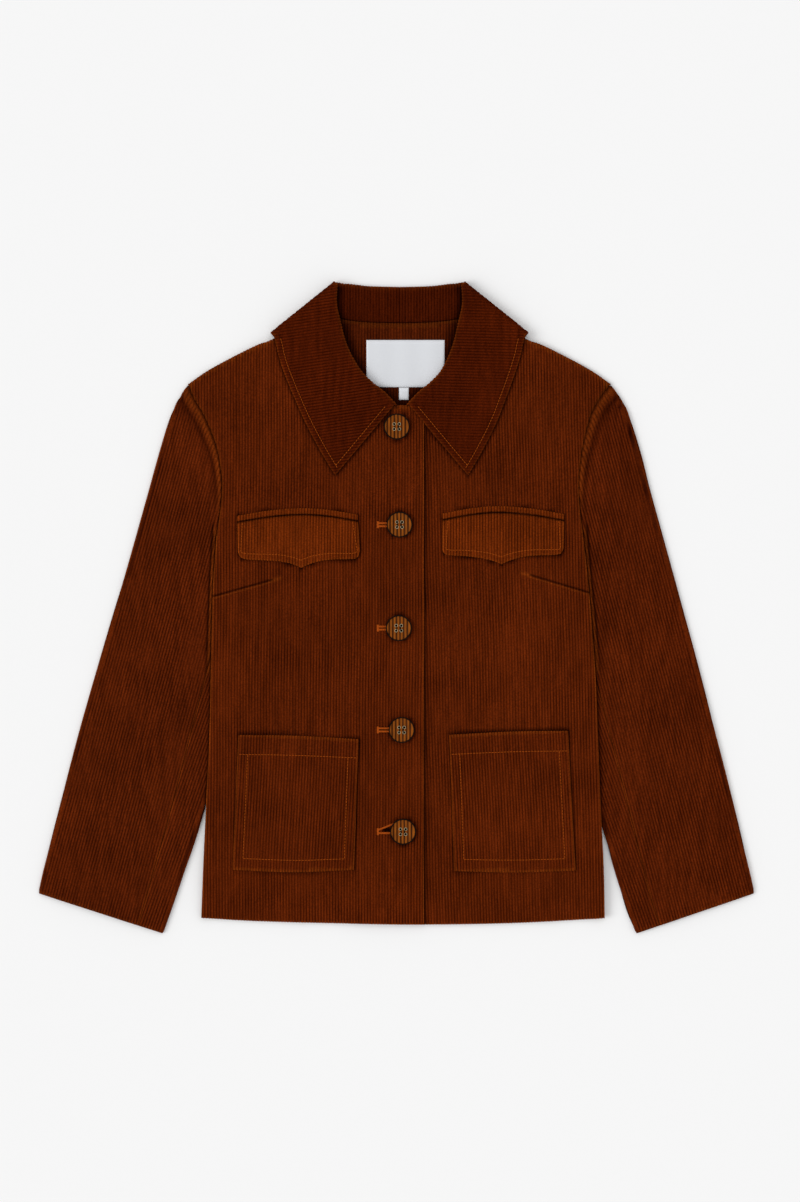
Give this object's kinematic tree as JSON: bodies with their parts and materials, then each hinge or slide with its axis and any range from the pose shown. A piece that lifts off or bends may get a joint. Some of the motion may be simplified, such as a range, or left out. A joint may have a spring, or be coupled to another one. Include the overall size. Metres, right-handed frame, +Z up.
{
  "type": "corduroy jacket, buttoned and laid flat",
  "caption": "Wide-wale corduroy jacket laid flat on its back, buttoned, with a turn-down collar, flapped chest pockets, patch pockets and its sleeves at its sides.",
  "frame": {"origin": "middle of the jacket's outline, on the surface that it lies on", "axes": "+X towards the wearer's left sleeve, +Y from the hem to the collar, +Z up from the surface, out of the jacket's front"},
  "size_m": [0.7518, 0.6814, 0.0143],
  "materials": {
    "corduroy": "brushed cotton pile in wales 3 mm apart, soft sheen",
    "label_satin": "woven satin",
    "button_resin": "satin resin"
  },
  "bodies": {
    "root": {"back": "corduroy", "front_right": "corduroy", "front_left": "corduroy", "top_sleeve_right": "corduroy", "under_sleeve_right": "corduroy", "top_sleeve_left": "corduroy", "under_sleeve_left": "corduroy", "collar": "corduroy", "back_facing": "corduroy", "patch_pocket_right": "corduroy", "patch_pocket_left": "corduroy", "flap_right": "corduroy", "flap_left": "corduroy", "flap_welt_right": "corduroy", "flap_welt_left": "corduroy", "label": "label_satin", "size_tab": "label_satin", "button_1": "button_resin", "button_2": "button_resin", "button_3": "button_resin", "button_4": "button_resin", "button_5": "button_resin"}
  },
  "joints": []
}
